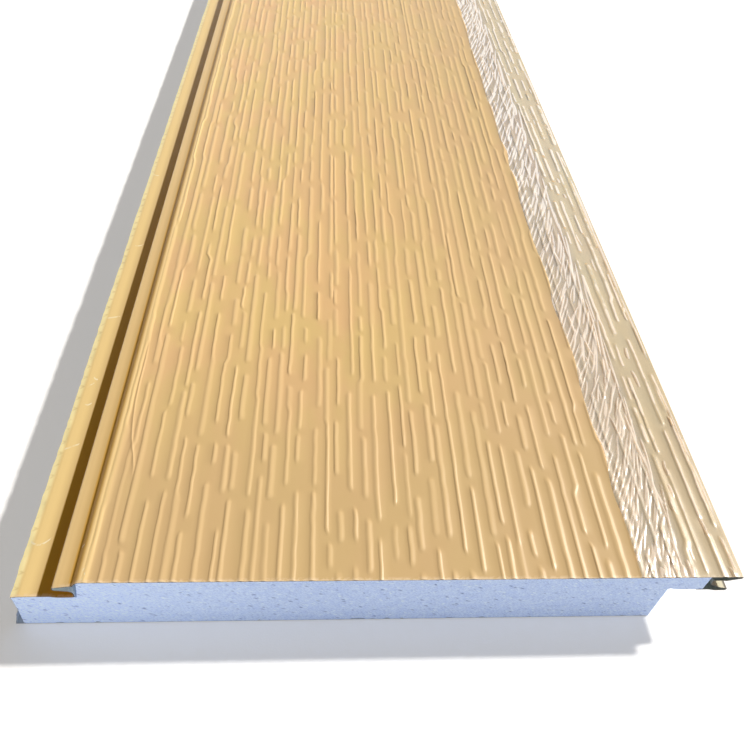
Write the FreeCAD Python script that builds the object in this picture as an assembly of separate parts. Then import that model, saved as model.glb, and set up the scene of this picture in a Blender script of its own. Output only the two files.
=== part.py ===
"""Insulated sandwich panel for cladding a wall: a roll-formed steel face sheet on a rigid foam core,
with a thin foil on its back and a strip of clear film still protecting one edge of the face.

One long edge carries a fixing flange with a slot under a hollow lip. The other long edge carries a folded
overhang with a hollow tongue under it. The next panel's tongue enters the slot and its overhang covers
the lip, so the screws in the flange are hidden.

Frame: X across the panel, Y along it, Z up through its thickness, in millimetres. The panel lies on its
back. The origin is on the floor, under the middle of the panel's box.

The section is drawn in its own coordinates and moved to the frame at the end. There x = 0 is the cover
line at the face's left edge, and z = 0 is the top of the face, so depths are negative.
"""

import FreeCAD
import Part

import math
import os

# Driving dimensions
PANEL_LENGTH = 3800.0
COVER_WIDTH = 383.0  # pitch of the panels on the wall
PANEL_THICKNESS = 50.0
SHEET = 0.5  # thickness of the steel
FOIL = 0.2  # thickness of the foil
FILM = 0.1  # thickness of the film
FIT = 0.25  # clearance between the interlocking edges of two panels

# Left edge: flange, slot and lip. Reaches are from the cover line, depths are to the sheet's upper side.
FLANGE_REACH = 37.5
FLANGE_DEPTH = 15.6
FLANGE_DROOP = 0.75  # the flange's outer edge is rolled down by this much
FLANGE_DROOP_START = 32.0
SLOT_FLOOR_DROP = 1.1  # the slot's floor lies this much lower than the flange
SLOT_FLOOR_START = 12.0
SLOT_RAMP = 3.5  # width of the slope from the flange down to the slot's floor
SLOT_END_REACH = 1.75
SLOT_HEIGHT = 6.0  # at its closed end
LIP_REACH = 12.2
LIP_DEPTH = 5.8  # at the lip's nose
LIP_NOSE_HEIGHT = 3.0
CREASE_REACH = 0.5
CREASE_DEPTH = 3.85
FACE_START = 2.6  # the face's left edge, at the top of a sloping wall

# Right edge: overhang, pocket and tongue. Reaches are in from the cover line.
OVERHANG_GAP = 0.3  # the overhang stops this far short of the cover line
OVERHANG_NOSE_HEIGHT = 2.25
RIDGE_REACH = 8.8  # the overhang's underside has a ridge that rests on the next panel's lip
RIDGE_DEPTH = 4.65
CEILING_START = 11.5
CEILING_DEPTH = 4.2
POCKET_REACH = 17.3
TONGUE_ROOT_REACH = 16.4
TONGUE_ROOT_DEPTH = 9.0
TONGUE_SHOULDER_REACH = 9.5
TONGUE_SHOULDER_DEPTH = 13.0
TONGUE_TIP_REACH = 4.55
TONGUE_TIP_DEPTH = 14.2
TONGUE_TAIL_REACH = 23.5

# Foam core and foil
FOAM_UPPER_REACH = 19.5  # the core stops this far in from the cover line, beside the tongue
FOAM_LOWER_REACH = 41.0  # and this far in, below the tongue
FOAM_WALL_FOOT_REACH = 0.6  # where the core's upper left side meets the slot's floor
FOAM_WALL_TOP = 2.3  # and where it meets the sheet's rounded shoulder
FOAM_WALL_TOP_DEPTH = 1.3
FOAM_TOP_START = 3.6  # the core lies against the face from here on
CORE_LEFT = 36.8
FOIL_FIN_TOP_DEPTH = 31.5
FOIL_FIN_TOP_REACH = 37.25
FOIL_FIN_REACH = 43.9  # the foil stands away from the core at its lower left corner
FOAM_FOOT_REACH = 39.0

# Clear film
FILM_WIDTH = 61.5
FILM_MARGIN = 1.3  # from the cover line

# Bend radii, to the middle of the sheet
FOIL_BEND = 0.3
TIGHT_BEND = 0.7
NOSE_BEND = 0.8
ROOT_BEND = 1.3
LIP_BEND = 1.3
SLOT_BEND = 1.9
CEILING_BEND = 3.0
SHOULDER_BEND = 4.2
GENTLE_BEND = 4.0

HALF = SHEET / 2
HALF_FOIL = FOIL / 2
FLANGE_Z = -FLANGE_DEPTH - HALF
SLOT_FLOOR_Z = FLANGE_Z - SLOT_FLOOR_DROP
TONGUE_UNDER_Z = SLOT_FLOOR_Z + SHEET + FIT
TAIL_Z = FLANGE_Z + SHEET + FIT
BOTTOM_Z = -PANEL_THICKNESS + HALF_FOIL
OVERHANG_X = COVER_WIDTH - OVERHANG_GAP - HALF
FOAM_RIGHT = COVER_WIDTH - FOAM_UPPER_REACH
REBATE_X = COVER_WIDTH - FOAM_LOWER_REACH
SHIFT = FreeCAD.Vector((FOIL_FIN_REACH - COVER_WIDTH + OVERHANG_GAP) / 2, -PANEL_LENGTH / 2, PANEL_THICKNESS)


def point(x, z):
    """A point of the section, on the plane y = 0."""
    return FreeCAD.Vector(x, 0, z)


def turned(heading):
    """The heading turned a quarter turn to its left, seen from the panel's front end."""
    return FreeCAD.Vector(-heading.z, 0, heading.x)


def bend_side(before, corner, after, radius, offset):
    """The start, middle and end of one side of a bend, offset to the left of the way the strip runs."""
    arriving = (corner - before).normalize()
    leaving = (after - corner).normalize()
    side = math.copysign(1, turned(arriving).dot(leaving))
    tangent = radius * math.tan(arriving.getAngle(leaving) / 2)
    centre = corner - arriving * tangent + turned(arriving) * side * radius
    side_radius = radius - side * offset
    start = centre - turned(arriving) * side * side_radius
    middle = centre + (corner - centre).normalize() * side_radius
    end = centre - turned(leaving) * side * side_radius
    return start, middle, end


def strip_side(corners, offset):
    """The edges along one side of a bent strip, and its two ends."""
    points = [point(x, z) for x, z, _ in corners]
    first = points[0] + turned((points[1] - points[0]).normalize()) * offset
    last = points[-1] + turned((points[-1] - points[-2]).normalize()) * offset
    edges = []
    here = first
    for i in range(1, len(points) - 1):
        start, middle, end = bend_side(points[i - 1], points[i], points[i + 1], corners[i][2], offset)
        edges.append(Part.LineSegment(here, start).toShape())
        edges.append(Part.Arc(start, middle, end).toShape())
        here = end
    edges.append(Part.LineSegment(here, last).toShape())
    return edges, first, last


def bent_strip(corners, thickness):
    """The section of a strip of even thickness. Each corner of its middle line is (x, z, bend radius)."""
    upper, upper_first, upper_last = strip_side(corners, thickness / 2)
    lower, lower_first, lower_last = strip_side(corners, -thickness / 2)
    first_end = Part.LineSegment(upper_first, lower_first).toShape()
    last_end = Part.LineSegment(upper_last, lower_last).toShape()
    return Part.Face(Part.Wire(Part.__sortEdges__(upper + lower + [first_end, last_end])))


def polygon(points):
    """A section with straight sides through the points given."""
    return Part.Face(Part.makePolygon([point(x, z) for x, z in points + points[:1]]))


def run_full_length(section):
    """A solid as long as the panel with the section given, placed in the panel's frame."""
    solid = section.extrude(FreeCAD.Vector(0, PANEL_LENGTH, 0))
    solid.translate(SHIFT)
    return solid


def flange_corners():
    """The flange from its outer edge to the start of the slot's floor."""
    return [
        (-FLANGE_REACH, FLANGE_Z - FLANGE_DROOP, 0),
        (-FLANGE_DROOP_START, FLANGE_Z, GENTLE_BEND),
        (-SLOT_FLOOR_START - SLOT_RAMP, FLANGE_Z, GENTLE_BEND),
        (-SLOT_FLOOR_START, SLOT_FLOOR_Z, GENTLE_BEND),
    ]


def lip_corners():
    """The slot's closed end, the lip over it, the crease and the sloping wall up to the face."""
    nose_x = -LIP_REACH + HALF
    nose_z = -LIP_DEPTH - HALF
    return [
        (-SLOT_END_REACH, SLOT_FLOOR_Z, SLOT_BEND),
        (-SLOT_END_REACH, SLOT_FLOOR_Z + SLOT_HEIGHT + SHEET, CEILING_BEND),
        (nose_x, nose_z - LIP_NOSE_HEIGHT + SHEET, LIP_BEND),
        (nose_x, nose_z, LIP_BEND),
        (-CREASE_REACH, -CREASE_DEPTH - HALF, TIGHT_BEND),
        (FACE_START, -HALF, SHOULDER_BEND),
    ]


def overhang_corners():
    """The overhang's nose, its underside with the ridge, and the ceiling and back of the pocket."""
    return [
        (OVERHANG_X, -HALF, NOSE_BEND),
        (OVERHANG_X, -OVERHANG_NOSE_HEIGHT + HALF, TIGHT_BEND),
        (COVER_WIDTH - RIDGE_REACH, -RIDGE_DEPTH, TIGHT_BEND),
        (COVER_WIDTH - CEILING_START, -CEILING_DEPTH, TIGHT_BEND),
        (COVER_WIDTH - POCKET_REACH, -CEILING_DEPTH, NOSE_BEND),
    ]


def tongue_corners():
    """The tongue from its root at the back of the pocket, round its tip, to the sheet's hidden tail."""
    tip_x = COVER_WIDTH - TONGUE_TIP_REACH - HALF
    return [
        (COVER_WIDTH - TONGUE_ROOT_REACH, -TONGUE_ROOT_DEPTH, ROOT_BEND),
        (COVER_WIDTH - TONGUE_SHOULDER_REACH, -TONGUE_SHOULDER_DEPTH, GENTLE_BEND),
        (tip_x, -TONGUE_TIP_DEPTH, NOSE_BEND),
        (tip_x, TONGUE_UNDER_Z, NOSE_BEND),
        (COVER_WIDTH - SLOT_FLOOR_START + HALF, TONGUE_UNDER_Z, GENTLE_BEND),
        (COVER_WIDTH - SLOT_FLOOR_START - SLOT_RAMP + HALF, TAIL_Z, GENTLE_BEND),
        (COVER_WIDTH - TONGUE_TAIL_REACH, TAIL_Z, 0),
    ]


def face_sheet():
    """The whole steel face, from the flange's outer edge to the tongue's tail, as one bent strip."""
    corners = flange_corners() + lip_corners() + overhang_corners() + tongue_corners()
    return run_full_length(bent_strip(corners, SHEET))


def back_foil():
    """The foil lies up the core's left side, stands away from its lower corner and covers its back."""
    return run_full_length(
        bent_strip(
            [
                (-CORE_LEFT, FLANGE_Z - FLANGE_DROOP - SHEET, 0),
                (-FOIL_FIN_TOP_REACH, -FOIL_FIN_TOP_DEPTH, GENTLE_BEND),
                (-FOIL_FIN_REACH + HALF_FOIL, BOTTOM_Z, FOIL_BEND),
                (REBATE_X, BOTTOM_Z, 0),
            ],
            FOIL,
        )
    )


def foam_core(sheet, foil):
    """The foam sets against the sheet and the foil, so its outline runs inside them and they cut it."""
    flange = [(x, z) for x, z, _ in flange_corners()[1:]]
    block = run_full_length(
        polygon([
            (-CORE_LEFT, FLANGE_Z - FLANGE_DROOP),
            *flange,
            (-FOAM_WALL_FOOT_REACH, SLOT_FLOOR_Z),
            (FOAM_WALL_TOP, -FOAM_WALL_TOP_DEPTH),
            (FOAM_TOP_START, -HALF),
            (FOAM_RIGHT, -HALF),
            (FOAM_RIGHT, TAIL_Z + HALF),
            (REBATE_X, TAIL_Z + HALF),
            (REBATE_X, BOTTOM_Z),
            (-FOAM_FOOT_REACH, BOTTOM_Z),
            (-FOIL_FIN_TOP_REACH, -FOIL_FIN_TOP_DEPTH),
        ])
    )
    return block.cut([sheet, foil]).Solids[0]


def protective_film():
    """The strip of clear film that still lies along the right edge of the face."""
    right = COVER_WIDTH - FILM_MARGIN
    left = right - FILM_WIDTH
    return run_full_length(polygon([(left, 0), (right, 0), (right, FILM), (left, FILM)]))


os.makedirs("parts", exist_ok=True)
pieces = {"face_sheet": face_sheet(), "back_foil": back_foil(), "protective_film": protective_film()}
pieces["foam_core"] = foam_core(pieces["face_sheet"], pieces["back_foil"])
for name, piece in pieces.items():
    piece.exportStep(f"parts/{name}.step")
    print(name, piece.ShapeType, "solids", len(piece.Solids), "valid", piece.isValid(), round(piece.Volume), "mm3")
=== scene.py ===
import math

import bpy
import numpy as np
from mathutils import Matrix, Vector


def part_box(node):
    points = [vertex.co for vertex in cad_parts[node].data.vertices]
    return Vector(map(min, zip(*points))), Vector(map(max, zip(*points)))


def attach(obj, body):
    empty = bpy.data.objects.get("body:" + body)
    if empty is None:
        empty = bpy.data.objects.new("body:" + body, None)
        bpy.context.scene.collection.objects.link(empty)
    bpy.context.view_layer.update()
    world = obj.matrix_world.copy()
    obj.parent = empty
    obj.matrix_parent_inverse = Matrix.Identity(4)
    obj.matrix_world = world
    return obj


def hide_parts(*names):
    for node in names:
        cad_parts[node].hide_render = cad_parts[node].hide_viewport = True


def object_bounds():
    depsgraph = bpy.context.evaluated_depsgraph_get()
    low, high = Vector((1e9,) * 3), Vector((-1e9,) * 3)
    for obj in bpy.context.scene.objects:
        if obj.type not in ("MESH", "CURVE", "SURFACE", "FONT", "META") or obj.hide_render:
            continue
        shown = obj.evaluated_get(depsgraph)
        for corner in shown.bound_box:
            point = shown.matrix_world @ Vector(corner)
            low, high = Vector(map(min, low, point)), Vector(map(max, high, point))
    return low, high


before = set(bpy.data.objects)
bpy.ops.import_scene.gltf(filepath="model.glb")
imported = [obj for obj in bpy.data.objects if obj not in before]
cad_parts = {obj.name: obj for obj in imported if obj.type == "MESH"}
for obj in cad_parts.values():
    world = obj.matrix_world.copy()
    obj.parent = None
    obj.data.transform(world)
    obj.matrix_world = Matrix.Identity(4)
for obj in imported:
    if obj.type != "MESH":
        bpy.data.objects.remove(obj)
cadLow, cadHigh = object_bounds()

mm = 0.001
filmLow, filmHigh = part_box("protective_film")
sheetLow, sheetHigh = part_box("face_sheet")
frontEnd = sheetLow.y
backEnd = sheetHigh.y
faceTop = filmLow.z

# The section of every piece is drawn in millimetres from the cover line at the face's left edge, with
# depths below the face's top as negative z. The film's right edge says where that line is.
panel = {
    "coverWidth": 383.0,
    "thickness": 50.0,
    "filmMargin": 1.3,
}
coverLine = filmHigh.x - (panel["coverWidth"] - panel["filmMargin"]) * mm
length = (backEnd - frontEnd) / mm


class Wire:
    # One output socket. Arithmetic on it adds Math nodes to the finish that it belongs to.
    def __init__(self, finish, socket):
        self.finish = finish
        self.socket = socket

    def math(self, operation, *others):
        # One Math node with this wire as its first value.
        return self.finish.node("ShaderNodeMath", {"operation": operation}, [self, *others])

    def __add__(self, other):
        return self.math("ADD", other)

    def __sub__(self, other):
        return self.math("SUBTRACT", other)

    def __mul__(self, other):
        return self.math("MULTIPLY", other)

    def __abs__(self):
        return self.math("ABSOLUTE")

    def atMost(self, other):
        return self.math("MINIMUM", other)

    def rise(self, low, high):
        # 0 at low, 1 at high and smooth between them; low may be the larger.
        limits = {"Value": self, "From Min": low, "From Max": high}
        return self.finish.node("ShaderNodeMapRange", {"interpolation_type": "SMOOTHSTEP"}, limits)


class Finish:
    # One material under construction: its node tree, and short ways to add nodes to it.
    def __init__(self, name):
        self.material = bpy.data.materials.new(name)
        self.material.use_nodes = True
        self.tree = self.material.node_tree
        self.shader = self.tree.nodes["Principled BSDF"]
        self.place = self.node("ShaderNodeTexCoord", output="Object")
        split = self.node("ShaderNodeSeparateXYZ", inputs=[self.place]).socket.node
        self.x, self.y, self.z = (Wire(self, socket) for socket in split.outputs)

    def feed(self, socket, value):
        # Links a wire to the socket, or sets the socket to a plain value.
        if isinstance(value, Wire):
            self.tree.links.new(value.socket, socket)
        else:
            socket.default_value = value

    def node(self, kind, settings=None, inputs=(), output=0):
        # Any node: its settings first, then the values or links of its sockets, by name or in order.
        made = self.tree.nodes.new(kind)
        for name, value in (settings or {}).items():
            setattr(made, name, value)
        named = inputs.items() if isinstance(inputs, dict) else enumerate(inputs)
        for key, value in named:
            self.feed(made.inputs[key], value)
        return Wire(self, made.outputs[output])

    def stretched(self, scaleX, scaleY, scaleZ, spot=None):
        # Coordinates scaled along each axis; the object's own unless another spot is given.
        scales = (scaleX, scaleY, scaleZ)
        return self.node("ShaderNodeVectorMath", {"operation": "MULTIPLY"}, [spot or self.place, scales])

    def noise(self, scale, detail=2.0, spot=None, roughness=0.5):
        # Cloudy values around 0.5, with scale patches to the metre.
        place = spot or self.place
        inputs = {"Vector": place, "Scale": scale, "Detail": detail, "Roughness": roughness}
        return self.node("ShaderNodeTexNoise", inputs=inputs)

    def cells(self, scale, feature="F1", spot=None):
        # Distances to the nearest of scattered points, or to the borders between their cells.
        inputs = {"Vector": spot or self.place, "Scale": scale}
        return self.node("ShaderNodeTexVoronoi", {"feature": feature}, inputs)

    def mix(self, share, first, second):
        # Colour from first to second as share goes from 0 to 1.
        made = self.tree.nodes.new("ShaderNodeMix")
        made.data_type = "RGBA"
        self.feed(made.inputs[0], share)
        self.feed(made.inputs[6], first)
        self.feed(made.inputs[7], second)
        return Wire(self, made.outputs[2])

    def bump(self, height, strength, distance):
        # A normal tilted by the slope of a height.
        inputs = {"Height": height, "Strength": strength, "Distance": distance}
        return self.node("ShaderNodeBump", inputs=inputs)

    def surface(self, values):
        # Feeds the shader's sockets by name and gives the finished material.
        for name, value in values.items():
            self.feed(self.shader.inputs[name], value)
        return self.material


def tone(red, green, blue):
    # A colour of the screen, 0 to 255, as the linear colour that sockets take.
    shares = np.array([red, green, blue]) / 255
    linear = np.where(shares < 0.04045, shares / 12.92, ((shares + 0.055) / 1.055) ** 2.4)
    return (*linear.tolist(), 1.0)


def roundedLine(corners, arcStep=24.0, runStep=5.0):
    # A line through corners (x, z, radius): straight runs joined by tangent arcs. Gives each point's x
    # and z and the line's heading there. An arc has a point every arcStep degrees or so.
    spots = np.array([c[:2] for c in corners], float)
    radii = [c[2] for c in corners]
    xs, zs, headings = [spots[0, 0]], [spots[0, 1]], []
    runs = np.diff(spots, axis=0)
    angles = np.arctan2(runs[:, 1], runs[:, 0])
    headings.append(angles[0])
    for i in range(1, len(spots)):
        last = i == len(spots) - 1
        if last:
            end = spots[i]
        else:
            turn = (angles[i] - angles[i - 1] + math.pi) % (2 * math.pi) - math.pi
            tangent = radii[i] * math.tan(abs(turn) / 2)
            way = np.array([math.cos(angles[i - 1]), math.sin(angles[i - 1])])
            end = spots[i] - way * tangent
        start = np.array([xs[-1], zs[-1]])
        count = max(1, int(math.ceil(np.hypot(*(end - start)) / runStep)))
        share = np.linspace(0, 1, count + 1)[1:]
        xs.extend(start[0] + (end[0] - start[0]) * share)
        zs.extend(start[1] + (end[1] - start[1]) * share)
        headings.extend([angles[i - 1]] * count)
        if last:
            break
        side = math.copysign(1, turn)
        centre = end + side * radii[i] * np.array([-way[1], way[0]])
        count = max(1, int(math.ceil(abs(math.degrees(turn)) / arcStep)))
        swept = angles[i - 1] + turn * np.linspace(0, 1, count + 1)[1:]
        xs.extend(centre[0] + side * radii[i] * np.sin(swept))
        zs.extend(centre[1] - side * radii[i] * np.cos(swept))
        headings.extend(swept)
    return np.array(xs), np.array(zs), np.array(headings)


def offsetLine(line, distance):
    # The line moved to the left of the way it runs by a distance.
    x, z, heading = line
    return x - distance * np.sin(heading), z + distance * np.cos(heading)


def lattice(u, v, seed):
    # Smooth noise from -1 to 1 on a plane: random values at whole numbers, eased between them.
    size = 256
    table = np.random.default_rng(seed).uniform(-1, 1, (size, size))
    iu, iv = np.floor(u).astype(int), np.floor(v).astype(int)
    fu, fv = u - iu, v - iv
    fu, fv = fu * fu * (3 - 2 * fu), fv * fv * (3 - 2 * fv)
    low = table[iu % size, iv % size] * (1 - fu) + table[(iu + 1) % size, iv % size] * fu
    high = table[iu % size, (iv + 1) % size] * (1 - fu) + table[(iu + 1) % size, (iv + 1) % size] * fu
    return low * (1 - fv) + high * fv


def eased(value):
    # 0 below 0, 1 above 1 and smooth between them.
    share = np.clip(value, 0, 1)
    return share * share * (3 - 2 * share)


def placed(x, y, z):
    # Section millimetres and a length in millimetres from the front end, as points of the frame.
    return np.stack([coverLine + x * mm, frontEnd + y * mm, faceTop + z * mm], axis=-1)


def finishedMesh(name, points, faces, materials, kinds, sharpAngle=38.0):
    # A mesh object from points, faces and each face's material number, smooth except at sharp edges.
    mesh = bpy.data.meshes.new(name)
    mesh.from_pydata(points, [], faces)
    for material in materials:
        mesh.materials.append(material)
    mesh.polygons.foreach_set("material_index", kinds)
    mesh.polygons.foreach_set("use_smooth", np.ones(len(kinds), bool))
    mesh.set_sharp_from_angle(angle=math.radians(sharpAngle))
    mesh.validate()
    piece = bpy.data.objects.new(name, mesh)
    bpy.context.scene.collection.objects.link(piece)
    return piece


def carriedRing(name, ring, materials, ringKinds, endKind, mark=None, values=None):
    # A closed ring of section points carried along the length: ring is rows by columns by 3. Each face
    # between two columns takes its column's material, and both ends are closed by one face each. A mark
    # is a number kept at every point for the finish to read.
    rows, columns = ring.shape[:2]
    index = np.arange(rows * columns).reshape(rows, columns)
    following = np.roll(index, -1, axis=1)
    quads = np.stack([index[:-1], index[1:], following[1:], following[:-1]], axis=-1).reshape(-1, 4)
    kinds = np.tile(ringKinds, rows - 1)
    faces = quads.tolist() + [index[0].tolist(), index[-1, ::-1].tolist()]
    kinds = np.concatenate([kinds, [endKind, endKind]]).astype(np.int32)
    piece = finishedMesh(name, ring.reshape(-1, 3), faces, materials, kinds)
    if mark:
        piece.data.attributes.new(mark, "FLOAT", "POINT").data.foreach_set("value", values.ravel())
    return piece


cameraPlace = {
    "acrossFromCover": 137.9,
    "beforeFront": 189.6,
    "aboveFace": 368.4,
    "swing": 5.76,
    "lookDown": 46.45,
    "roll": 4.81,
    "lens": 34.06,
}


def makeCamera():
    # It stands before the front end, swung a little to the right of the length and rolled.
    data = bpy.data.cameras.new("camera")
    data.lens = cameraPlace["lens"]
    data.sensor_width = 36.0
    data.clip_start = 0.01
    camera = bpy.data.objects.new("camera", data)
    turn = Matrix.Rotation(math.radians(-cameraPlace["swing"]), 4, "Z")
    tilt = Matrix.Rotation(math.radians(90 - cameraPlace["lookDown"]), 4, "X")
    roll = Matrix.Rotation(math.radians(cameraPlace["roll"]), 4, "Z")
    spot = placed(cameraPlace["acrossFromCover"], -cameraPlace["beforeFront"], cameraPlace["aboveFace"])
    camera.matrix_world = Matrix.Translation(spot) @ turn @ tilt @ roll
    bpy.context.scene.collection.objects.link(camera)
    bpy.context.scene.camera = camera


studio = {
    "keyAzimuth": 66.0,
    "keyElevation": 39.3,
    "keyStrength": 4.05,
    "keySpread": 3.0,
    "keyColour": (1.0, 0.965, 0.905),
    "fillAzimuth": 186.0,
    "fillElevation": 3.0,
    "fillStrength": 1.3,
    "fillSpread": 40.0,
    "fillColour": (0.75, 0.88, 1.10),
    "rearAzimuth": -12.0,
    "rearElevation": 6.0,
    "rearStrength": 0.6,
    "rearSpread": 50.0,
    "rearColour": (1.0, 0.97, 0.93),
    "skyColour": (1.0, 0.80, 0.54),
    "skyStrength": 0.15,
    "floorReach": 6.0,
    "floorGap": 0.3,
    "floorGlow": 0.3,
}


def addSun(name):
    # A distant light; its azimuth turns from straight along the panel towards its right side.
    data = bpy.data.lights.new(name, "SUN")
    data.energy = studio[name + "Strength"]
    data.color = studio[name + "Colour"]
    data.angle = math.radians(studio[name + "Spread"])
    lamp = bpy.data.objects.new(name, data)
    turn = Matrix.Rotation(math.radians(-studio[name + "Azimuth"]), 4, "Z")
    lamp.matrix_world = turn @ Matrix.Rotation(math.radians(studio[name + "Elevation"] - 90), 4, "X")
    bpy.context.scene.collection.objects.link(lamp)


def makeLight():
    # A key from the right, low soft fills on the front and back ends, and an even pale sky.
    scene = bpy.context.scene
    scene.view_settings.view_transform = "Standard"
    addSun("key")
    addSun("fill")
    addSun("rear")
    world = bpy.data.worlds.new("studio")
    world.use_nodes = True
    background = world.node_tree.nodes["Background"]
    background.inputs["Color"].default_value = (*studio["skyColour"], 1.0)
    background.inputs["Strength"].default_value = studio["skyStrength"]
    scene.world = world


def makeFloor():
    # A flat square a little under the panel's lowest point.
    reach = studio["floorReach"]
    height = cadLow.z - studio["floorGap"] * mm
    corners = [(-reach, -reach), (reach, -reach), (reach, reach), (-reach, reach)]
    points = [(x, y, height) for x, y in corners]
    look = Finish("paleFloor")
    patches = look.noise(3.0, 3.0)
    shade = look.mix(patches.rise(0.3, 0.7), tone(232, 233, 236), tone(240, 240, 241))
    grain = look.noise(900.0, 2.0)
    look.surface({
        "Base Color": shade,
        "Roughness": 0.7,
        "Normal": look.bump(grain, 0.15, 0.0004),
        "Emission Color": (0.96, 0.98, 1.0, 1.0),
        "Emission Strength": studio["floorGlow"],
    })
    floor = finishedMesh("floor", points, [(0, 1, 2, 3)], [look.material], np.zeros(1, np.int32))


paint = {
    "face": tone(226, 193, 136),
    "warm": tone(230, 189, 140),
    "yellow": tone(226, 197, 134),
    # Painted sheen: a less saturated tone towards the right side.
    "right": tone(217, 190, 150),
    # Painted shade: a darker tone towards the front end.
    "front": tone(211, 181, 133),
    # Painted highlight on the tops of the raised strokes and on the wrinkle.
    "raised": tone(240, 208, 156),
    # Painted light on the left edge: highlights on the lip, its nose and the face's left margin, and painted
    # shade on the lip beside the fold and at the nose's very edge.
    "lip": tone(242, 209, 149),
    "lipInner": tone(224, 190, 130),
    "nose": tone(250, 218, 158),
    "noseShade": tone(150, 112, 52),
    "margin": tone(247, 216, 155),
    # Painted shade: flange, flangeMiddle and rim make the flange darker towards the lip's shadow, lightest
    # at its rim.
    "flange": tone(206, 176, 122),
    "flangeMiddle": tone(240, 211, 148),
    "fleck": tone(204, 172, 108),
    "rim": tone(255, 241, 184),
    # Painted shadow: a deep brown where the lip shades the slot and the flange.
    "slot": tone(212, 164, 44),
    # Painted shade: a deeper brown in the fold beside the face's left edge.
    "fold": tone(218, 166, 62),
    # Painted shade on the tongue under the overhang: a greyer tone, darker at its root and darkest at its
    # tip.
    "tongue": tone(190, 186, 162),
    "tongueRootShade": tone(108, 98, 72),
    "tongueTipShade": tone(80, 70, 54),
    "scuff": tone(250, 238, 206),
    "worn": tone(240, 214, 178),
    "reverse": tone(182, 190, 188),
    # Painted light: a paler reverse inside the lip's hollow.
    "lipInsideLight": tone(238, 246, 244),
    "reverseDark": tone(158, 166, 158),
    "cut": tone(72, 64, 56),
    "cutFleck": tone(124, 112, 94),
}

# Bands of paint from the face's left margin out to the flange's rim. Each begins and is full at these
# distances from the cover line, and covers the one before. They are painted light and shade: painted
# highlights on the face's left margin, the lip and its nose, painted shade on the lip beside the fold and
# at the nose's edge, and a flange that grows darker towards the lip's shadow as painted shade.
paintBands = [
    ("margin", 11, 5),
    ("lipInner", 0, -2),
    ("lip", -3, -8),
    ("nose", -8.6, -10.8),
    ("noseShade", -11.95, -12.15),
    ("flange", -13.5, -16),
    ("flangeMiddle", -20, -29),
    ("rim", -32.5, -35.5),
]

# Scuffs on the flange: middle x and distance from the front end, half width, slope and bow, in millimetres.
scuffs = [
    (-30.0, 32.6, 6.2, 0.10, 0.11),
    (-28.3, 232.8, 5.0, 0.26, 0.02),
    (-29.0, 105.5, 4.6, 0.50, 0.0),
    (-27.1, 142.0, 2.4, 0.3, 0.2),
    (-29.3, 161.0, 2.0, 0.9, 0.0),
    (-27.4, 166.5, 1.8, -0.7, 0.3),
    (-26.0, 326.0, 3.6, 0.3, 0.1),
    (-31.0, 441.0, 3.2, -0.4, 0.1),
    (0.8, 24.0, 0.9, 0.4, 0.0),
    (5.6, 2.4, 0.6, 1.2, 0.0),
    (6.2, 5.6, 0.5, -1.5, 0.0),
    (5.2, 8.4, 0.5, 2.0, 0.0),
]


def scuffMarks(look):
    # Thin curved scratches. Each follows y = slope times x plus bow times x squared from its middle.
    total = 0.0
    for across, along, reach, slope, bow in scuffs:
        x = (look.x - (coverLine + across * mm)) * (1 / mm)
        y = (look.y - (frontEnd + along * mm)) * (1 / mm)
        line = abs(y - x * slope - x * x * bow).rise(1.0, 0.25)
        total = line * abs(x).rise(reach, reach * 0.8) + total
    return total


def rollMarks(look, across):
    # Faint chevrons inside the flange's rim, one for each tooth of the feed rolls. The distance to the
    # nearest tooth bends a mark's line back on both sides of its point.
    along = (look.y - frontEnd) * (1 / mm) + look.noise(30.0, 2.0) * 9.0
    fromTooth = along.math("PINGPONG", rim["toothPitch"] / 2)
    line = abs(across + fromTooth * 1.1 - rim["toothAt"]).rise(2.0, 0.0)
    return line * fromTooth.rise(2.4, 0.4) * look.noise(140.0, 2.0).rise(0.35, 0.55)


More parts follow.
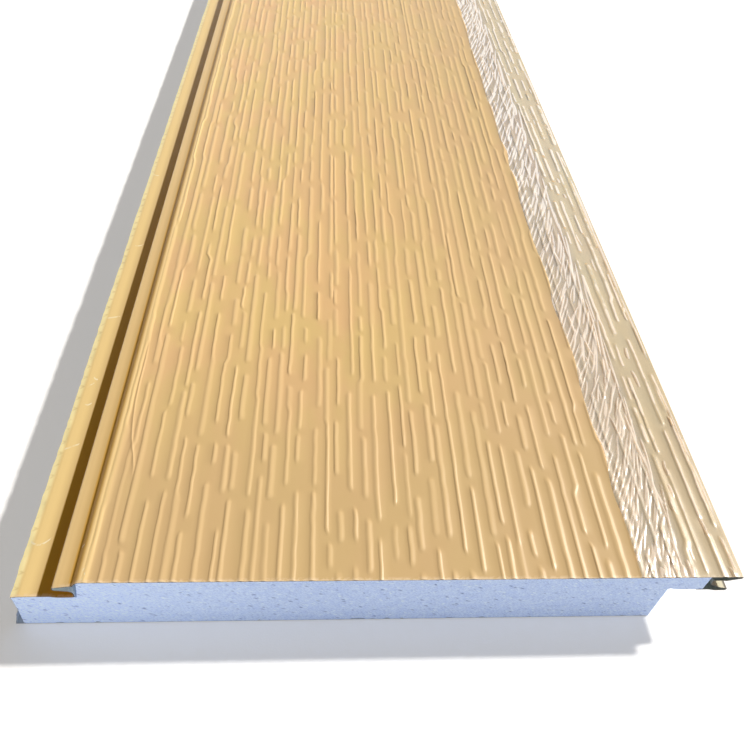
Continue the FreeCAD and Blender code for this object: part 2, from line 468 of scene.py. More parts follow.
def tanPaint():
    # Satin warm tan: patches a little pinker or yellower, less saturated to the right as a painted sheen,
    # darker at the front as painted shade, and paler on the raised strokes as a painted highlight. The bands
    # of the left edge follow, with the painted shadow in the slot, painted shade in the fold beside the
    # face, scuffs, paint chipped at both cut ends, and the tongue greyed and darkened as painted shade. A
    # fine grain covers all.
    look = Finish("tanPaint")
    across = (look.x - coverLine) * (1 / mm)
    below = (look.z - faceTop) * (1 / mm)
    fromFront = (look.y - frontEnd) * (1 / mm)
    raised = look.node("ShaderNodeAttribute", {"attribute_name": "raised"}, output="Fac")
    patches = look.noise(1.0, 3.0, look.stretched(34, 15, 34)).rise(0.35, 0.65)
    shade = look.mix(patches, paint["warm"], paint["yellow"])
    broad = look.noise(1.0, 2.0, look.stretched(6, 2.5, 6)).rise(0.3, 0.7)
    shade = look.mix(broad * 0.6, shade, paint["face"])
    # Painted sheen: less saturated towards the right side.
    shade = look.mix(across.rise(140, 390) * 0.75, shade, paint["right"])
    # Painted shade: darker towards the front end.
    shade = look.mix(fromFront.rise(230, 30) * 0.8, shade, paint["front"])
    # Painted highlight: paler on the raised strokes and the wrinkle.
    shade = look.mix(raised * 0.42, shade, paint["raised"])
    for name, begins, full in paintBands:
        shade = look.mix(across.rise(begins, full), shade, paint[name])
    shade = look.mix(rollMarks(look, across) * 0.42, shade, paint["fleck"])
    # Painted shadow of the lip: a deep brown under it, on the slot's floor and the flange.
    shade = look.mix(below.rise(-6.6, -7.6) * across.rise(-22.9, -21.7), shade, paint["slot"])
    # Painted shade: a deeper brown in the fold between the lip and the face.
    shade = look.mix(across.rise(-3.4, -1.4) * across.rise(4.6, 1.6), shade, paint["fold"])
    rub = look.noise(420.0, 3.0).rise(0.3, 0.55)
    shade = look.mix((scuffMarks(look) * rub).atMost(1.0) * 0.85, shade, paint["scuff"])
    fromEnd = abs(look.y) - backEnd  # 0 at either end, and less than 0 along the panel
    chipped = look.noise(420.0, 3.0).rise(0.38, 0.6) * fromEnd.rise(-2.6 * mm, -0.5 * mm)
    worn = (chipped + fromEnd.rise(-0.9 * mm, -0.6 * mm) * 0.5).atMost(1.0)
    shade = look.mix(worn * 0.7, shade, paint["worn"])
    # Painted shade: the tongue greyer under the overhang, and darker at its root and tip.
    tongue = look.mix(across.rise(369, 373), paint["tongueRootShade"], paint["tongue"])
    tongue = look.mix(across.rise(375.8, 377.2), tongue, paint["tongueTipShade"])
    shade = look.mix(below.rise(-4.5, -5.5) * across.rise(340, 350), shade, tongue)
    grain = look.noise(2600.0, 2.0)
    dullness = look.noise(60.0, 3.0).rise(0.3, 0.75) * 0.08 + 0.36
    return look.surface({
        "Base Color": shade,
        "Roughness": dullness,
        "Normal": look.bump(grain, 0.12, 0.0002),
        "Specular IOR Level": 0.4,
    })


def greyReverse():
    # The sheet's reverse: a thin grey-green backing coat, slightly streaked along the length. Left of the
    # cover line, inside the lip, it is paler as painted light that stands for light reaching into the
    # hollow.
    look = Finish("greyReverse")
    streaks = look.noise(1.0, 3.0, look.stretched(400, 12, 400)).rise(0.3, 0.7)
    shade = look.mix(streaks, paint["reverse"], paint["reverseDark"])
    # Painted light: paler inside the lip.
    shade = look.mix(look.x.rise(coverLine + 5 * mm, coverLine), shade, paint["lipInsideLight"])
    return look.surface({"Base Color": shade, "Roughness": 0.5, "Metallic": 0.15})


def cutEdge():
    # Bare sawn steel at the sheet's ends, dark with brighter flecks.
    look = Finish("cutEdge")
    flecks = look.noise(1500.0, 2.0).rise(0.45, 0.7)
    shade = look.mix(flecks, paint["cut"], paint["cutFleck"])
    return look.surface({"Base Color": shade, "Roughness": 0.45, "Metallic": 0.5})


foam = {
    "body": tone(192, 210, 246),
    "light": tone(228, 241, 255),
    "dark": tone(112, 130, 178),
    # The left tone and the glow are painted light: lighter and glowing towards the left side.
    "left": tone(202, 220, 251),
    "glow": 0.1,
    "slant": -0.5,
}


def foamFinish():
    # Pale blue rigid foam: mottled, with fine cells, light torn flecks and dark pits that run aslant.
    # Painted light makes it a little lighter to the left and glow faintly there, though it is no lamp.
    look = Finish("foam")
    mottle = look.noise(160.0, 4.0, roughness=0.7).rise(0.3, 0.7)
    turned = {"Vector": look.place, "Angle": foam["slant"]}
    slant = look.node("ShaderNodeVectorRotate", {"rotation_type": "Y_AXIS"}, turned)
    drawn = look.stretched(0.5, 1.0, 1.25, slant)
    speckle = look.noise(1150.0, 2.0, drawn, roughness=0.7)
    flecks = look.cells(330.0, spot=drawn).rise(0.30, 0.12) * look.noise(210.0, 2.0).rise(0.40, 0.57)
    pits = look.cells(250.0, spot=drawn).rise(0.26, 0.08) * look.noise(190.0, 1.0).rise(0.44, 0.53)
    # Painted light: lighter towards the left side.
    leftSide = look.x.rise(coverLine + 150 * mm, coverLine - 30 * mm)
    shade = look.mix(leftSide * 0.8, foam["body"], foam["left"])
    shade = look.mix(mottle * 0.35, shade, foam["light"])
    shade = look.mix(speckle.rise(0.5, 0.72) * 0.7, shade, foam["light"])
    shade = look.mix(speckle.rise(0.5, 0.28) * 0.4, shade, foam["dark"])
    shade = look.mix(flecks * 0.9, shade, foam["light"])
    shade = look.mix(pits * 0.7, shade, foam["dark"])
    height = mottle * 0.4 + speckle * 0.6 + flecks * 0.5 - pits * 0.9
    return look.surface({
        "Base Color": shade,
        "Roughness": 0.85,
        "Normal": look.bump(height, 0.5, 0.0006),
        "Specular IOR Level": 0.2,
        # Painted light: a faint glow on the left side.
        "Emission Color": look.mix(leftSide, (0.0, 0.0, 0.0, 1.0), foam["body"]),
        "Emission Strength": foam["glow"],
    })


def foilBacking():
    # The foil's inner side: a pale grey lacquer with a little of the foam's skin on it, and a faint painted
    # glow all over, though it is no lamp.
    look = Finish("foilBacking")
    patches = look.noise(220.0, 3.0).rise(0.3, 0.7)
    shade = look.mix(patches, tone(164, 174, 184), tone(200, 210, 220))
    return look.surface({
        "Base Color": shade,
        "Roughness": 0.6,
        "Normal": look.bump(patches, 0.3, 0.0004),
        # Painted light: the lacquer glows faintly.
        "Emission Color": shade,
        "Emission Strength": 0.1,
    })


def foilFinish():
    # Dull silver foil, finely creased both ways.
    look = Finish("foil")
    creases = look.cells(90.0, "DISTANCE_TO_EDGE").rise(0.0, 0.12)
    wrinkles = look.noise(160.0, 4.0, look.stretched(1, 0.5, 1))
    shade = look.mix(wrinkles.rise(0.3, 0.7), tone(168, 170, 172), tone(206, 208, 210))
    return look.surface({
        "Base Color": shade,
        "Roughness": wrinkles.rise(0.3, 0.7) * 0.14 + 0.26,
        "Metallic": 0.9,
        "Normal": look.bump(creases * 0.6 + wrinkles, 0.6, 0.0008),
    })


veiled = {
    "looseNear": tone(148, 174, 196),
    "tightNear": tone(170, 188, 190),
    # The far tones are bluer and whiter as a painted sky reflection away from the front end.
    "looseFar": tone(138, 174, 218),
    "tightFar": tone(206, 238, 255),
    "shaded": tone(146, 126, 110),
    # Crease whites: partly the lifted film's haze and partly painted glints, whiter far away as a painted
    # reflection.
    "whiteNear": tone(245, 231, 215),
    "whiteFar": tone(255, 254, 254),
    "under": tone(230, 226, 214),
    "gloss": 0.22,
}


def filmFinish():
    # Clear film: a faint milky veil, whitened along its creases, partly as the lifted film's own haze and
    # partly as painted glints, dull in the shade beside them, and glossy all over. Away from the front end a
    # painted reflection makes the veil bluer and the whites whiter. Where it lies loose the veil is duller
    # and thicker.
    look = Finish("clearFilm")
    crease = look.node("ShaderNodeAttribute", {"attribute_name": "crease"}, output="Fac")
    white = crease.rise(0.08, 0.45)
    shaded = crease.rise(-0.05, -0.45)
    veil = look.noise(1.0, 3.0, look.stretched(150, 28, 150)).rise(0.35, 0.75)
    loose = look.x.rise(coverLine + 356 * mm, coverLine + 348 * mm)
    # Painted reflection: the veil and the crease whites grow bluer and whiter away from the front end.
    far = look.y.rise(frontEnd + 40 * mm, frontEnd + 500 * mm)
    near = look.mix(loose, veiled["tightNear"], veiled["looseNear"])
    ground = look.mix(far, near, look.mix(loose, veiled["tightFar"], veiled["looseFar"]))
    ground = look.mix(shaded, ground, veiled["shaded"])
    whitened = look.mix(far, veiled["whiteNear"], veiled["whiteFar"])
    fine = look.noise(1.0, 3.0, look.stretched(900, 110, 900))
    clear = veil * 0.06 + loose * 0.07 + 0.27
    return look.surface({
        "Base Color": look.mix(white, ground, whitened),
        "Roughness": veiled["gloss"],
        "Alpha": white * 0.58 + shaded * 0.35 + clear,
        "Normal": look.bump(fine, 0.25, 0.0004),
        "Specular IOR Level": 0.6,
    })


def filmUnderside():
    # The film's side against the paint shows nothing of its own.
    look = Finish("filmUnderside")
    return look.surface({"Base Color": veiled["under"], "Roughness": veiled["gloss"], "Alpha": 0.02})


sheet = {
    "thickness": 0.5,
    "faceStart": 2.6,
    "faceEnd": 381.0,
    "marginColumn": 4.75,
    "finerUpTo": -29.0,
    "underColumns": 10,
    "sections": 4,
    "rowReaches": [0, 260, 1000],
    "rowSteps": [2.0, 4.0, 13.0],
}

# Corners of the sheet's middle line: x from the cover line, z from the face's top, bend radius.
leftEdge = [
    (-37.5, -16.6, 0),
    (-32.0, -15.85, 4),
    (-15.5, -15.85, 4),
    (-12.0, -16.95, 4),
    (-1.75, -16.95, 1.9),
    (-1.75, -10.45, 3.0),
    (-11.95, -8.55, 1.3),
    (-11.95, -6.05, 1.3),
    (-0.5, -4.1, 0.7),
    (2.6, -0.25, 4.2),
]
rightEdge = [
    (382.45, -0.25, 0.8),
    (382.45, -2.0, 0.7),
    (374.2, -4.65, 0.7),
    (371.5, -4.2, 0.7),
    (365.7, -4.2, 0.8),
    (366.6, -9.0, 1.3),
    (373.5, -13.0, 4),
    (378.2, -14.2, 0.8),
    (378.2, -16.2, 0.8),
    (371.25, -16.2, 4),
    (367.75, -15.1, 4),
    (359.5, -15.1, 0),
]

grain = {
    "seed": 20,
    "firstLane": 7.2,
    "lastLane": 378.0,
    "firstColumn": 4.9,
    "lastColumn": 381.2,
    "leftEdge": 4.7,
    "leftFade": 1.6,
    "rightEdge": 381.6,
    "rightFade": 2.0,
    "pitch": 8.2,
    "pitchSpread": 1.5,
    "halfTop": 0.3,
    "leftFlank": 2.0,
    "rightFlank": 2.5,
    "skew": 0.3,
    "narrowest": 0.52,
    "widest": 1.15,
    "height": 0.51,
    "farGain": 0.5,
    "gainFrom": 120.0,
    "gainReach": 480.0,
    "ground": -0.1,
    "shortest": 14.0,
    "longest": 125.0,
    "shortestGap": 3.0,
    "longestGap": 28.0,
    "joined": 0.14,
    "sway": 1.6,
    "waver": 0.32,
    "taper": 1.9,
    "marginLanes": 2,
    "marginJoined": 0.85,
}

# A long thin wrinkle on the face beside its left edge: distances from the front end and across.
wrinkle = {
    "along": [66, 78, 88, 99, 108, 118, 132, 150, 172, 200],
    "across": [19.6, 18.9, 16.9, 13.9, 12.5, 11.3, 10.1, 9.6, 9.7, 8.8],
    "height": 0.5,
    "width": 0.75,
    "frontFade": 20.0,
    "backFade": 30.0,
}


def laneCentres():
    # Middle lines of the raised strokes, spaced at an uneven pitch across the face.
    random = np.random.default_rng(grain["seed"])
    count = int((grain["lastLane"] - grain["firstLane"]) / grain["pitch"]) + 1
    even = np.linspace(grain["firstLane"], grain["lastLane"], count)
    nudges = random.uniform(-grain["pitchSpread"], grain["pitchSpread"], count)
    nudges[-1] = 0
    return even + nudges


def laneAlong(number, y):
    # One lane at each y: how far it stands to the side, how much of its height it has, and how wide its
    # left and right flanks are. Strokes and gaps follow each other, and each stroke keeps its own sway,
    # height and widths. Some run on into the next with no gap, so that the ridge makes a quick bend there,
    # and those beside the face's left edge mostly do.
    random = np.random.default_rng([grain["seed"], number])
    spots = int(length / (grain["shortest"] + grain["shortestGap"])) + 2
    longer = grain["longest"] - grain["shortest"]
    strokes = grain["shortest"] + longer * random.beta(1.2, 2.0, spots)
    longerGap = grain["longestGap"] - grain["shortestGap"]
    gaps = grain["shortestGap"] + longerGap * random.beta(1.0, 2.2, spots)
    joined = grain["marginJoined"] if number < grain["marginLanes"] else grain["joined"]
    gaps = np.where(random.uniform(0, 1, spots) < joined, 0.0, gaps)
    starts = np.cumsum(strokes + gaps) - strokes - random.uniform(0, grain["longest"])
    ends = starts + strokes
    which = np.clip(np.searchsorted(starts, y, side="right") - 1, 0, spots - 1)
    fromStart = np.where(gaps[which] > 0, y - starts[which], grain["longest"])
    toEnd = np.where(np.roll(gaps, -1)[which] > 0, ends[which] - y, grain["longest"])
    taper = grain["taper"] * random.uniform(0.6, 1.5, spots)[which]
    presence = eased(np.minimum(fromStart, toEnd) / taper)
    knots = np.stack([starts + 3, ends - 3], axis=-1).ravel()

    def kept(values):
        # A value for each stroke, held from its start to its end.
        return np.interp(y, knots, np.repeat(values, 2))

    gain = 1 + grain["farGain"] * eased((y - grain["gainFrom"]) / grain["gainReach"])
    heights = kept(0.45 + 0.65 * random.beta(3.0, 1.2, spots)) * gain
    sways = kept(random.uniform(-grain["sway"], grain["sway"], spots))
    phase = random.uniform(0, 100)
    lane = np.full_like(y, number + 0.5)
    wander = (lattice(y / 8.5 + phase, lane, 5) + lattice(y / 31 + phase, lane, 6)) * grain["waver"]
    width = kept(random.uniform(grain["narrowest"], grain["widest"], spots))
    width = (width + 0.15 * lattice(y / 11 - phase, lane, 7)) * (0.75 + 0.25 * presence)
    skew = kept(random.uniform(-grain["skew"], grain["skew"], spots))
    left = width * (1 + skew) * grain["leftFlank"]
    right = width * (1 - skew) * grain["rightFlank"]
    return sways + wander, presence * heights, left, right


def strokeShare(x, y):
    # The strokes on any grid of x columns and y rows: 0 between them and 1 on a full one's narrow top, with
    # an eased flank on both sides.
    total = np.zeros_like(x)
    along = y[:, 0]
    for number, centre in enumerate(laneCentres()):
        if centre < x.min() - 6 or centre > x.max() + 6:
            continue
        side, presence, left, right = laneAlong(number, along)
        away = x - centre - side[:, None]
        flank = np.where(away < 0, left[:, None], right[:, None])
        level = eased(1 - (np.abs(away) - grain["halfTop"]) / flank)
        total = np.maximum(total, level * presence[:, None])
    return total


def faceFade(x):
    # 1 on the face, down to 0 at both of its edges, so that it meets the bends there.
    fromLeft = (x - grain["leftEdge"]) / grain["leftFade"]
    fromRight = (grain["rightEdge"] - x) / grain["rightFade"]
    return eased(fromLeft) * eased(fromRight)


def softSwell(x, y):
    # The very slight waviness of a thin sheet bonded to foam.
    return lattice(x / 38, y / 95, 11) * 0.1 + lattice(x / 16, y / 40, 12) * 0.03


def wrinkleLine(y):
    # Where the wrinkle's line crosses each y.
    return np.interp(y, wrinkle["along"], wrinkle["across"])


def wrinkleHeight(x, y):
    # A thin ridge along the wrinkle's line that dies away at both ends.
    first, last = wrinkle["along"][0], wrinkle["along"][-1]
    ends = eased((y - first) / wrinkle["frontFade"]) * eased((last - y) / wrinkle["backFade"])
    return wrinkle["height"] * np.exp(-((x - wrinkleLine(y)) / wrinkle["width"]) ** 2) * ends


def faceColumns(y):
    # Columns across the face for each row: eight follow each lane's flanks, one lies between lanes, and
    # five follow the wrinkle. Sorted, and kept inside the face's margins.
    centres = laneCentres()
    share = np.array([1.0, 0.67, 0.33, 0.0])
    groups = [wrinkleLine(y)[:, None] + np.array([-0.8, -0.36, 0.0, 0.36, 0.8])]
    for number, centre in enumerate(centres):
        side, _, left, right = laneAlong(number, y)
        middle = centre + side[:, None]
        groups.append(middle - grain["halfTop"] - share * left[:, None])
        groups.append(middle + grain["halfTop"] + share[::-1] * right[:, None])
        if number + 1 < len(centres):
            groups.append(np.full((len(y), 1), (centre + centres[number + 1]) / 2))
    columns = np.sort(np.concatenate(groups, axis=1), axis=1)
    low, high = grain["firstColumn"], grain["lastColumn"]
    spare = np.linspace(0, 0.05, columns.shape[1])
    return np.clip(columns, low + spare, high + spare)


def lengthRows(reaches, steps):
    # Distances from the front end, close together near it: each stretch has its own step.
    limits = [*reaches, length]
    rows = [np.zeros(1)]
    for low, high, step in zip(limits, limits[1:], steps):
        rows.append(np.linspace(low, high, int(round((high - low) / step)) + 1)[1:])
    return np.concatenate(rows)


rim = {
    "begins": -33.0,
    "reach": 3.0,
    "inward": 0.55,
    "wander": 0.3,
    "lift": 0.3,
    "toothPitch": 9.6,
    "toothAt": -34.4,
}


def rimShape(x, y):
    # The flange's outer edge, as moves in x and z on a grid: the slitting knife left it a little ragged.
    near = eased((rim["begins"] - x) / rim["reach"])
    ragged = np.abs(lattice(y / 6.5, y * 0, 71)) * rim["inward"]
    wander = lattice(y / 60, y * 0, 72) * rim["wander"]
    lift = lattice(y / 5.5, y * 0, 73) * rim["lift"]
    return (ragged + wander) * near, lift * near


def sheetRing(y):
    # The closed section at each y: the painted side from the flange to the tail, then the reverse back.
    # Also gives each column's material number and how far each point is raised by a stroke or the wrinkle.
    line = roundedLine(leftEdge + rightEdge, runStep=4.0)
    index = np.arange(len(line[0]))
    flangeSteps = index[:-1][line[0][1:] < sheet["finerUpTo"]]
    finer = np.sort(np.concatenate([index, flangeSteps + 0.34, flangeSteps + 0.67]))
    line = [np.interp(finer, index, values) for values in line]
    half = sheet["thickness"] / 2
    upperX, upperZ = offsetLine(line, half)
    lowerX, lowerZ = offsetLine(line, -half)
    flat = np.abs(line[2]) < 1e-6
    startsFace = int(np.argmax((line[0] > sheet["faceStart"]) & flat))
    endsFace = int(np.argmax((line[0] > sheet["faceEnd"]) & flat))
    faceX = faceColumns(y)
    rows = len(y)
    faceY = np.repeat(y[:, None], faceX.shape[1], axis=1)
    fade = faceFade(faceX)
    share = strokeShare(faceX, faceY) * fade
    fold = wrinkleHeight(faceX, faceY)
    faceZ = share * grain["height"] + (grain["ground"] + softSwell(faceX, faceY)) * fade + fold

    def spread(values):
        # The same values in every row.
        return np.repeat(values[None, :], rows, axis=0)

    def withRim(x, z):
        # One line in every row, with the ragged edge's moves added.
        moveX, moveZ = rimShape(spread(x), np.repeat(y[:, None], len(x), axis=1))
        return x + moveX, z + moveZ

    beforeX, beforeZ = withRim(upperX[:startsFace + 1], upperZ[:startsFace + 1])
    afterX, afterZ = upperX[endsFace:], upperZ[endsFace:]
    marginX = np.array([sheet["marginColumn"]])
    plainX = np.linspace(20, 360, sheet["underColumns"])
    plainZ = np.full(sheet["underColumns"], -sheet["thickness"])
    underX = np.concatenate([lowerX[:startsFace + 1], plainX, lowerX[endsFace:]])[::-1]
    underZ = np.concatenate([lowerZ[:startsFace + 1], plainZ, lowerZ[endsFace:]])[::-1]
    underX, underZ = withRim(underX, underZ)
    x = np.concatenate([beforeX, spread(marginX), faceX, spread(afterX), underX], axis=1)
    z = np.concatenate([beforeZ, spread(marginX * 0), faceZ, spread(afterZ), underZ], axis=1)
    painted = beforeX.shape[1] + len(marginX) + faceX.shape[1] + len(afterX)
    kinds = np.ones(x.shape[1], int)
    kinds[:painted] = 0
    kinds[painted - 1] = 2
    kinds[-1] = 2
    raised = np.zeros_like(x)
    first = beforeX.shape[1] + len(marginX)
    # The paint reads this for its painted highlight on the stroke tops and the wrinkle.
    raised[:, first:first + faceX.shape[1]] = np.maximum(share, fold / wrinkle["height"])
    return placed(x, np.repeat(y[:, None], x.shape[1], axis=1), z), kinds, raised


def makeFaceSheet():
    # The sheet's ring of section points, turned to run the other way so that faces point outwards, and
    # carried along the length in equal parts that share their end rows.
    rows = lengthRows(sheet["rowReaches"], sheet["rowSteps"])
    ring, kinds, raised = sheetRing(rows)
    ring, raised = ring[:, ::-1], raised[:, ::-1]
    kinds = np.roll(kinds[::-1], -1)
    materials = [tanPaint(), greyReverse(), cutEdge()]
    cuts = np.linspace(0, len(rows) - 1, sheet["sections"] + 1).astype(int)
    for number in range(sheet["sections"]):
        part = slice(cuts[number], cuts[number + 1] + 1)
        name = f"embossedFace{number + 1}"
        piece = carriedRing(name, ring[part], materials, kinds, 2, "raised", raised[part])
        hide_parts("face_sheet")
        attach(piece, "root")
    print("face sheet:", ring.shape[0], "rows,", ring.shape[1], "columns")


core = {
    "columnStep": 1.4,
    "rowStep": 1.3,
    "stations": 12,
    "leftTop": -36.8,
    "leftTopDepth": -16.7,
    "leftWaist": -37.2,
    "waistDepth": -31.5,
    "leftFoot": -38.9,
    "bottom": -49.8,
    "rebate": 342.0,
    "right": 363.5,
    "shelf": -14.85,
    "top": -0.55,
    "slotFloor": -17.2,
    "wallFoot": -0.6,
    "wallTop": 2.3,
    "wallTopDepth": -1.35,
    "shoulder": 1.4,
    "leanWithin": 8,
    "slopeWithin": 40,
    "roughness": 0.22,
    "pitDepth": 0.6,
}
# The core's top under the flange, from its left edge to the slot's floor: x and z.
underFlange = [(-36.8, -16.75), (-32.0, -16.1), (-15.5, -16.1), (-12.0, -17.2)]


def coreGrid():
    # The end face as one net of quads: a lower part up to the flange and slot floor, and an upper part
    # under the face that shares the lower part's top row. Gives x, z, quads and the outline in order.
    lowerColumns = int((core["rebate"] - core["leftTop"]) / core["columnStep"])
    across = np.linspace(0, 1, lowerColumns + 1)
    lowerRows = int((core["slotFloor"] - core["bottom"]) / core["rowStep"])
    up = np.linspace(0, 1, lowerRows + 1)
    topX = core["leftTop"] + (core["rebate"] - core["leftTop"]) * across
    foot = int(np.argmin(np.abs(topX - core["wallFoot"])))
    topX[foot] = core["wallFoot"]
    topZ = np.interp(topX, *np.array(underFlange).T)
    z = core["bottom"] + (topZ[None, :] - core["bottom"]) * up[:, None]
    sideZ = [core["bottom"], core["waistDepth"], core["leftTopDepth"]]
    left = np.interp(z[:, 0], sideZ, [core["leftFoot"], core["leftWaist"], core["leftTop"]])
    shift = (left - core["leftTop"])[:, None] * (1 - across[None, :]) ** core["leanWithin"]
    x = topX[None, :] + shift
    lower = np.arange(x.size).reshape(x.shape)

    extra = int((core["right"] - core["rebate"]) / core["columnStep"])
    extraX = np.linspace(core["rebate"], core["right"], extra + 1)
    extraX[0] += 0.05
    upperX = np.concatenate([topX[foot:], extraX])
    upperRows = int((core["top"] - core["slotFloor"]) / core["rowStep"])
    rise = np.linspace(0, 1, upperRows + 1)
    bottomZ = np.where(upperX > core["rebate"], core["shelf"], core["slotFloor"])
    slope = (core["wallTop"] - core["wallFoot"]) * rise[:, None]
    reach = (1 - (upperX - upperX[0]) / (upperX[-1] - upperX[0]))[None, :] ** core["slopeWithin"]
    upperXs = upperX[None, :] + slope * reach
    shoulder = [core["wallTop"], core["wallTop"] + core["shoulder"]]
    highest = np.interp(upperXs[-1], shoulder, [core["wallTopDepth"], core["top"]])
    upperZ = bottomZ[None, :] + (highest - bottomZ)[None, :] * rise[:, None]
    upper = np.empty(upperXs.shape, int)
    shared = len(topX) - foot
    upper[0, :shared] = lower[-1, foot:]
    added = np.arange(upperXs.size - shared) + x.size
    upper[0, shared:] = added[:len(upperX) - shared]
    upper[1:] = added[len(upperX) - shared:].reshape(upperRows, len(upperX))
    allX = np.concatenate([x.ravel(), upperXs[0, shared:], upperXs[1:].ravel()])
    allZ = np.concatenate([z.ravel(), upperZ[0, shared:], upperZ[1:].ravel()])

    def net(index):
        # The quads between neighbouring points of a grid of point numbers.
        corners = [index[:-1, :-1], index[:-1, 1:], index[1:, 1:], index[1:, :-1]]
        return np.stack(corners, axis=-1).reshape(-1, 4)

    quads = np.concatenate([net(lower), net(upper)])
    outline = np.concatenate([
        lower[0, :],
        lower[1:, -1],
        upper[0, shared:],
        upper[1:, -1],
        upper[-1, -2::-1],
        upper[-2:0:-1, 0],
        lower[-1, foot::-1],
        lower[-2:0:-1, 0],
    ])
    return allX, allZ, quads, outline


def cutRelief(x, z, seed):
    # How far a sawn foam end stands back from flat: fine roughness and scattered round pits.
    rough = lattice(x / 2.1, z / 2.1, seed) * 0.5 + lattice(x / 5.3, z / 4.7, seed + 1) * 0.5
    pits = eased((lattice(x / 3.1, z / 3.1, seed + 2) - 0.62) / 0.25)
    return core["roughness"] * (0.5 + 0.5 * rough) + core["pitDepth"] * pits


def makeFoamCore():
    # The net of the end face at both ends, set back by the saw's relief, and walls between their outlines.
    x, z, quads, outline = coreGrid()
    stations = np.linspace(0, length, core["stations"] + 1)[1:-1]
    front = placed(x, cutRelief(x, z, 31), z)
    back = placed(x, length - cutRelief(x, z, 41), z)
    ringX, ringZ = np.tile(x[outline], (len(stations), 1)), np.tile(z[outline], (len(stations), 1))
    middle = placed(ringX, np.repeat(stations[:, None], len(outline), axis=1), ringZ)
    count = len(x)
    rings = np.arange(middle.shape[0] * middle.shape[1]).reshape(middle.shape[:2]) + 2 * count
    rings = np.concatenate([outline[None, :], rings, outline[None, :] + count])
    following = np.roll(rings, -1, axis=1)
    walls = np.stack([rings[:-1], rings[1:], following[1:], following[:-1]], axis=-1).reshape(-1, 4)
    faces = np.concatenate([quads, quads[:, ::-1] + count, walls])
    points = np.concatenate([front, back, middle.reshape(-1, 3)])
    kinds = np.zeros(len(faces), np.int32)
    piece = finishedMesh("foamCore", points, faces.tolist(), [foamFinish()], kinds, 50.0)
    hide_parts("foam_core")
    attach(piece, "root")
    print("foam core:", len(faces), "faces")


foil = {
    "thickness": 0.2,
    "crinkle": 0.55,
    "fine": 0.22,
    "dent": 3.2,
    "dentAt": 19.0,
    "dentReach": 9.0,
    "finFrom": -38.0,
    "backColumns": 12,
}
foilLine = [
    (-36.8, -17.1, 0),
    (-37.25, -31.5, 4),
    (-43.8, -49.9, 0.3),
    (342.0, -49.9, 0),
]


def makeBackFoil():
    # The foil's line is carried along the length. Its free fin is crinkled and has one dent near the front
    # end, as pushes square to the line that fade where the foil is bonded.
    x, z, heading = roundedLine(foilLine, runStep=1.5)
    number = np.arange(len(x))
    keep = (x < -34) | (number % foil["backColumns"] == 0) | (number == len(x) - 1)
    x, z, heading = x[keep], z[keep], heading[keep]
    half = foil["thickness"] / 2
    y = lengthRows([0, 60], [2.0, 26.0])
    along = np.cumsum(np.concatenate([[0], np.hypot(np.diff(x), np.diff(z))]))
    u, v = np.meshgrid(along, y)
    loose = eased((along - 14) / 6) * (x < foil["finFrom"])
    folds = lattice(u / 5.0 + v / 31, v / 17, 51) * foil["crinkle"]
    folds += lattice(u / 2.2, v / 7 + u / 3, 52) * foil["fine"]
    push = folds * loose[None, :] * eased((along[-1] - u) / 10)
    dent = np.exp(-((v - foil["dentAt"]) / foil["dentReach"]) ** 2) * loose[None, :] * foil["dent"]
    rise = (heading > -0.5).astype(float)
    push = (push + dent) * (1 - rise[None, :])
    sides = []
    for offset in (half, -half):
        sideX, sideZ = offsetLine((x, z, heading), offset)
        sides.append((sideX[None, :] + push * -np.sin(heading), sideZ[None, :] + push * np.cos(heading)))
    ringX = np.concatenate([sides[0][0], sides[1][0][:, ::-1]], axis=1)
    ringZ = np.concatenate([sides[0][1], sides[1][1][:, ::-1]], axis=1)
    ringZ = np.maximum(ringZ, -panel["thickness"])
    ring = placed(ringX, np.repeat(y[:, None], ringX.shape[1], axis=1), ringZ)[:, ::-1]
    kinds = np.zeros(ring.shape[1], int)
    kinds[len(x):-1] = 1
    piece = carriedRing("backFoil", ring, [foilFinish(), foilBacking()], kinds, 0)
    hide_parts("back_foil")
    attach(piece, "root")
    print("back foil:", ring.shape[0], "rows,", ring.shape[1], "columns")


film = {
    "left": 320.2,
    "loose": 351.0,
    "right": 381.7,
    "looseStep": 0.44,
    "tightStep": 0.62,
    "thickness": 0.1,
    "rowReaches": [0, 300, 900],
    "rowSteps": [1.2, 1.8, 16.0],
    "bottomColumns": 18,
    "joinAt": 700,
    "edgeWander": 1.8,
    "lookRight": 1.3,
    # How strong the painted glint is on the strokes where the film is taut, and where it is loose.
    "glintShare": 0.64,
    "looseGlintShare": 0.2,
}
creases = {
    "seed": 77,
    "height": 0.6,
    "width": 0.5,
    "sparser": 0.95,
    "straighter": 0.28,
    "longer": 0.6,
    "wider": 1.25,
    "farReach": 450,
    "bow": 0.7,
    "crumpled": 13,
}
# Families of creases: middle across and its spread, pitch along the length, lean and its spread in degrees
# from the length, shortest and longest half length, and how strong.
creaseFamilies = [
    (325.6, 0.8, 5.4, 26.0, 2.5, 9, 16, 0.95),
    (333.6, 1.5, 5.6, 22.0, 4.5, 7, 14, 0.85),
    (342.3, 1.2, 5.4, 19.0, 3.5, 9, 19, 1.0),
    (338.0, 6.0, 7.5, 13.0, 8.0, 5, 12, 0.75),
    (338.0, 8.0, 55.0, -8.0, 3.0, 8, 16, 0.65),
    (348.8, 1.2, 13.0, 4.0, 3.0, 10, 34, 1.0),
    (366.0, 8.5, 15.0, -1.5, 4.0, 2.5, 8.5, 0.9),
    (380.0, 0.4, 52.0, 0.0, 0.3, 16, 40, 0.75),
]


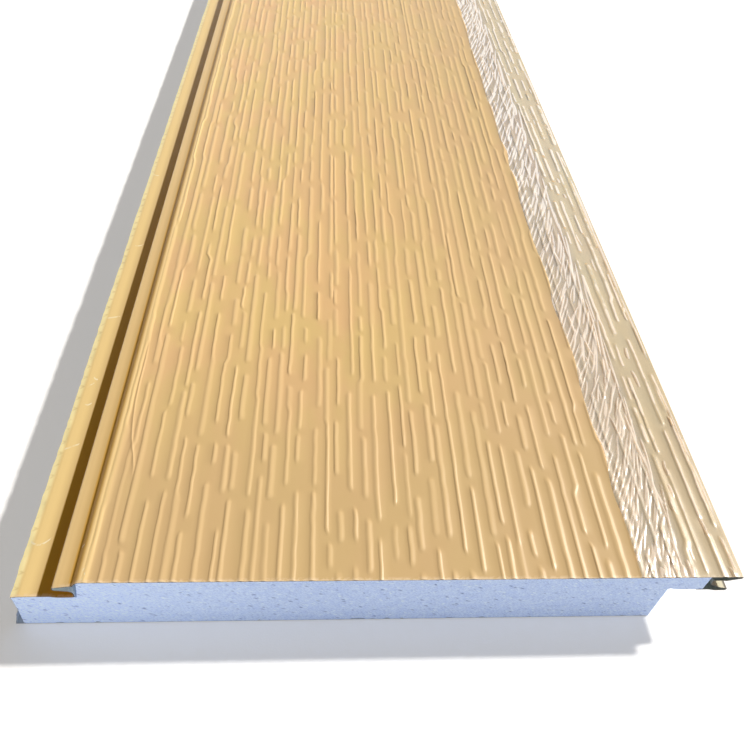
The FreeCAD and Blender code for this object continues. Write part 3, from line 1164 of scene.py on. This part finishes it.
def scatterCreases():
    # One row for each crease: middle x and y, slope, half length, width, height and bow. In each family
    # they follow each other along the length at an almost even pitch. Away from the front end they are
    # sparser, longer and wider, and lie straighter. More of them crumple the film at its very front.
    random = np.random.default_rng(creases["seed"])
    rows = []
    for across, spread, pitch, lean, leanSpread, shortest, longest, strength in creaseFamilies:
        count = int(length / pitch)
        midX = np.clip(random.normal(across, spread, count), film["left"] + 1, film["right"] - 2)
        midY = (np.arange(count) + random.uniform(-0.25, 0.25, count)) * pitch
        far = eased(midY / creases["farReach"])
        midY = midY * (1 + creases["sparser"] * far)
        angles = np.radians(random.normal(lean, leanSpread, count))
        slope = np.tan(angles) * (1 - creases["straighter"] * far)
        reach = random.uniform(shortest, longest, count) * (1 + creases["longer"] * far)
        width = creases["width"] * (1 + creases["wider"] * far) * random.uniform(0.65, 1.5, count)
        height = strength * random.uniform(0.55, 1.0, count)
        bow = random.normal(0, creases["bow"], count)
        rows.append(np.stack([midX, midY, slope, reach, width, height, bow], axis=-1))
    crumpled = creases["crumpled"]
    midX = random.uniform(331, 354, crumpled)
    midY = random.uniform(0, 16, crumpled)
    slope = np.tan(np.radians(random.uniform(-6, 24, crumpled)))
    reach, width = random.uniform(4, 11, crumpled), random.uniform(0.5, 1.2, crumpled)
    rows.append(np.stack([midX, midY, slope, reach, width, width * 0 + 0.9, width * 0], axis=-1))
    return np.concatenate(rows)


def creaseHeight(x, y):
    # Raised creases in the film, as heights from 0 to 1. Each is a thin, slightly bowed ridge with a bell
    # section and tapered ends that leans away from the length. The film's left edge curls up in places.
    curl = eased(lattice(y / 24, y * 0, 63) * 1.4 + 0.1) * np.exp(-((x - x[:, :1] - 0.7) / 0.6) ** 2)
    total = curl * 0.7
    along = y[:, 0]
    for midX, midY, slope, reach, width, height, bow in scatterCreases():
        low, high = np.searchsorted(along, [midY - reach, midY + reach])
        part = slice(low, high)
        down = (y[part] - midY) / reach
        line = midX + (y[part] - midY) * slope + bow * down * down
        away = (x[part] - line) / (width * (1.15 - 0.4 * down * down))
        total[part] = np.maximum(total[part], np.exp(-away * away) * (1 - down ** 4) * height)
    return total


def makeFilm():
    # A strip of film with a thin section: it settles over the strokes, and stands up along its creases. It
    # is marked white along creases, partly as the lifted film's haze and partly as painted glints, with a
    # painted glint on the right flank of each stroke, and shaded beside them.
    rows = lengthRows(film["rowReaches"], film["rowSteps"])
    loose = np.arange(film["left"], film["loose"], film["looseStep"])
    tight = np.arange(film["loose"], film["right"], film["tightStep"])
    flat = np.concatenate([loose, tight, [film["right"]]])
    across = (flat - film["left"]) / (film["right"] - film["left"])
    edge = film["left"] + (lattice(rows / 30, rows * 0, 61) + 0.9)[:, None] * film["edgeWander"]
    x = edge + (film["right"] - edge) * across[None, :]
    y = np.repeat(rows[:, None], x.shape[1], axis=1)
    share = strokeShare(x, y)
    settled = (share * grain["height"] + grain["ground"]) * faceFade(x) + softSwell(x, y)
    crease = creaseHeight(x, y)
    rightward = share - strokeShare(x + film["lookRight"], y)
    patchy = 0.75 + 0.6 * lattice(y / 13, x / 9, 64) + 0.25 * lattice(y / 4, x / 5, 65)
    taut = film["looseGlintShare"] + (1 - film["looseGlintShare"]) * eased((x - film["loose"] + 5) / 6)
    # Painted glint: white on each stroke's right flank, which faces the light, and faint on its top; weaker
    # where the film is loose.
    flankGlint = (np.clip(rightward, 0, 1) + 0.3 * share) * patchy * taut * film["glintShare"]
    shaded = np.clip(np.roll(crease, -2, axis=1) - crease, 0, 1) * (x < film["right"] - 2)
    shaded = np.maximum(shaded, np.clip(-rightward, 0, 1) * taut * 0.24)
    top = settled + film["thickness"] + 0.06 + crease * creases["height"]
    under = np.minimum(top - film["thickness"], settled + 0.08)
    fewer = np.linspace(0, x.shape[1] - 1, film["bottomColumns"]).astype(int)[::-1]
    ringX = np.concatenate([x, x[:, fewer]], axis=1)
    ringZ = np.concatenate([top, under[:, fewer]], axis=1)
    mark = np.maximum(crease, flankGlint) - shaded * 0.8
    mark = np.concatenate([mark, mark[:, fewer]], axis=1)[:, ::-1]
    ring = placed(ringX, np.repeat(rows[:, None], ringX.shape[1], axis=1), ringZ)[:, ::-1]
    join = int(np.searchsorted(rows, film["joinAt"]))
    looks = [filmFinish(), filmUnderside()]
    kinds = np.ones(ring.shape[1], int)
    kinds[-x.shape[1]:-1] = 0
    for number, part in enumerate([slice(0, join + 1), slice(join, None)]):
        piece = carriedRing(f"clearFilm{number + 1}", ring[part], looks, kinds, 1, "crease", mark[part])
        piece.visible_shadow = False  # thin clear film hardly shades what it lies on
        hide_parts("protective_film")
        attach(piece, "root")
    print("film:", ring.shape[0], "rows,", ring.shape[1], "columns")


makeCamera()
makeLight()
makeFloor()
print("camera, light and floor made")
makeFaceSheet()
makeFoamCore()
makeBackFoil()
makeFilm()
